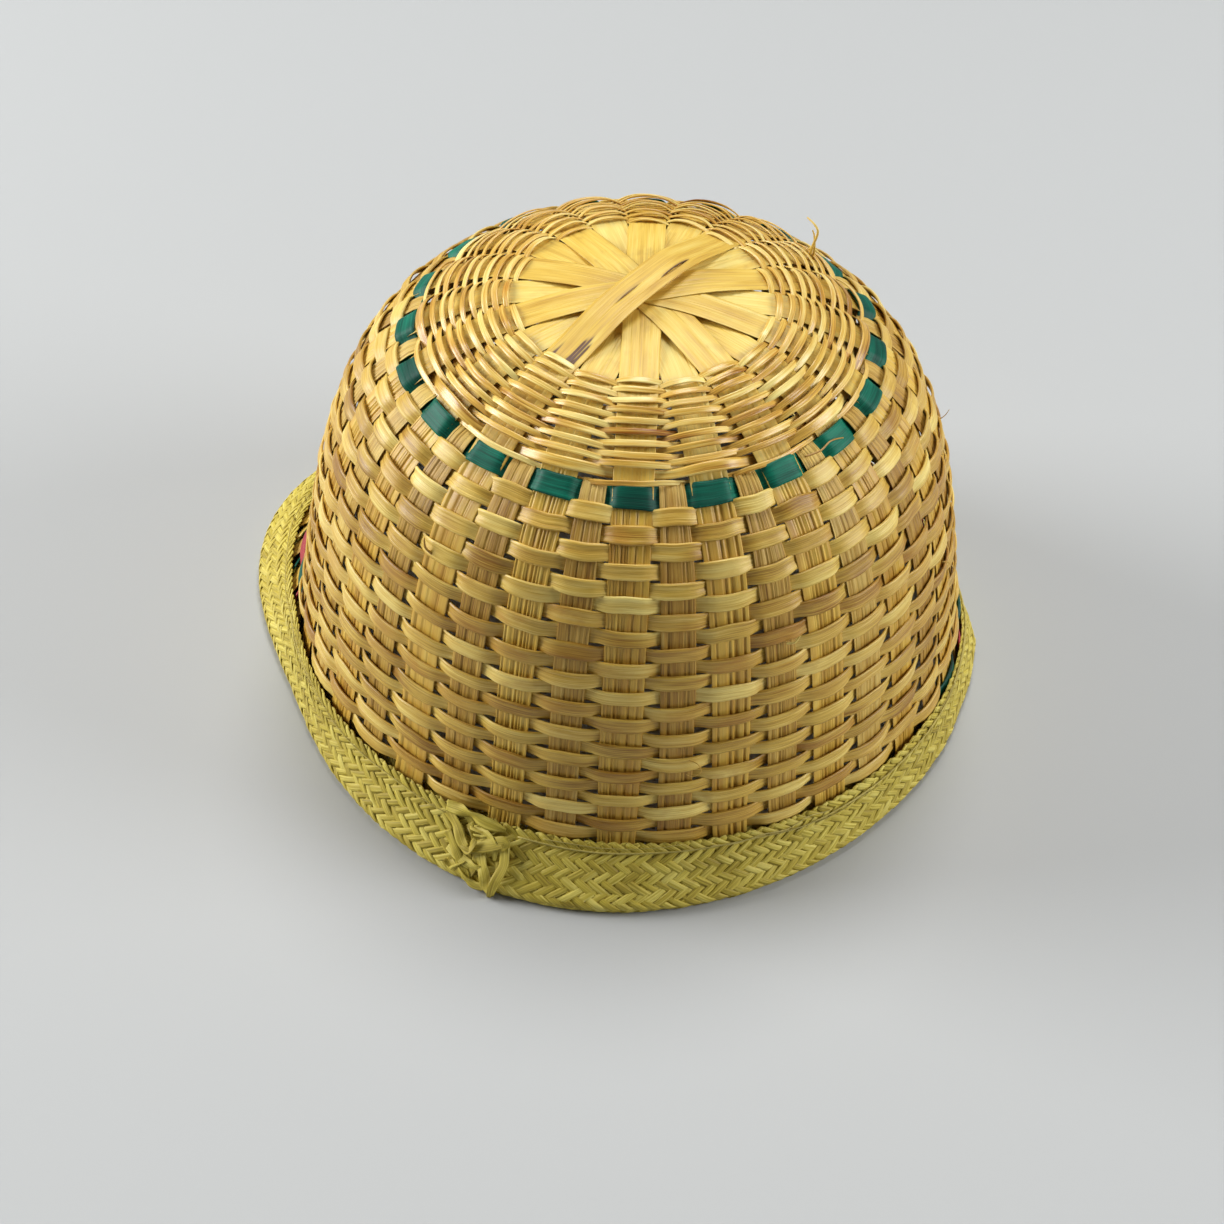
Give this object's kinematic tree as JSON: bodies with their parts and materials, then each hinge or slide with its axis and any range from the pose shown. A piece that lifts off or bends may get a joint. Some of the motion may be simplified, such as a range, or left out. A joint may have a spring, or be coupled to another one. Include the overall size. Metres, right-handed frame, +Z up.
{
  "type": "woven bamboo hat",
  "caption": "Hand-woven split-bamboo dome hat with crossing strips on a flat crown, dyed weft rows, a brim that widens into a visor and a plaited straw rim binding.",
  "frame": {"origin": "middle of the hat's outline, on the level plane that its rim stands on", "axes": "+Z up, +Y towards the visor, +X towards the wearer's right"},
  "size_m": [0.281, 0.3084, 0.1586],
  "materials": {
    "bamboo_strip": "split bamboo, pale yellow, satin, fine grain along the strip",
    "bamboo_stake": "split bamboo, tan, reeded lengthwise, dull satin",
    "bamboo_weft": "split bamboo, golden straw colour, satin with bright bends",
    "oiled_splint": "narrow bamboo splints, golden orange, oiled and glossy",
    "green_splint": "bamboo splint dyed teal green",
    "red_splint": "bamboo splint dyed red",
    "straw_braid": "plaited straw tape, olive yellow, dry and fibrous",
    "binding_thread": "thin sewing thread, dull olive"
  },
  "bodies": {
    "root": {"crown_strip_01": "bamboo_strip", "crown_strip_02": "bamboo_strip", "crown_strip_03": "bamboo_strip", "crown_strip_04": "bamboo_strip", "crown_strip_05": "bamboo_strip", "crown_strip_06": "bamboo_strip", "crown_strip_07": "bamboo_strip", "crown_strip_08": "bamboo_strip", "crown_strip_09": "bamboo_strip", "crown_strip_10": "bamboo_strip", "strip_stake_01": "bamboo_stake", "strip_stake_02": "bamboo_stake", "strip_stake_03": "bamboo_stake", "strip_stake_04": "bamboo_stake", "strip_stake_05": "bamboo_stake", "strip_stake_06": "bamboo_stake", "strip_stake_07": "bamboo_stake", "strip_stake_08": "bamboo_stake", "strip_stake_09": "bamboo_stake", "strip_stake_10": "bamboo_stake", "strip_stake_11": "bamboo_stake", "strip_stake_12": "bamboo_stake", "strip_stake_13": "bamboo_stake", "strip_stake_14": "bamboo_stake", "strip_stake_15": "bamboo_stake", "strip_stake_16": "bamboo_stake", "strip_stake_17": "bamboo_stake", "strip_stake_18": "bamboo_stake", "strip_stake_19": "bamboo_stake", "strip_stake_20": "bamboo_stake", "inserted_stake_01": "bamboo_stake", "inserted_stake_02": "bamboo_stake", "inserted_stake_03": "bamboo_stake", "inserted_stake_04": "bamboo_stake", "inserted_stake_05": "bamboo_stake", "inserted_stake_06": "bamboo_stake", "inserted_stake_07": "bamboo_stake", "inserted_stake_08": "bamboo_stake", "inserted_stake_09": "bamboo_stake", "inserted_stake_10": "bamboo_stake", "inserted_stake_11": "bamboo_stake", "inserted_stake_12": "bamboo_stake", "inserted_stake_13": "bamboo_stake", "inserted_stake_14": "bamboo_stake", "inserted_stake_15": "bamboo_stake", "inserted_stake_16": "bamboo_stake", "inserted_stake_17": "bamboo_stake", "inserted_stake_18": "bamboo_stake", "inserted_stake_19": "bamboo_stake", "inserted_stake_20": "bamboo_stake", "crown_weft": "oiled_splint", "green_row": "green_splint", "wall_weft": "bamboo_weft", "brim_green_row_1": "green_splint", "brim_red_row": "red_splint", "brim_green_row_2": "green_splint", "visor_weft": "bamboo_weft", "rim_braid": "straw_braid", "braid_end": "straw_braid", "rim_thread": "binding_thread"}
  },
  "joints": []
}
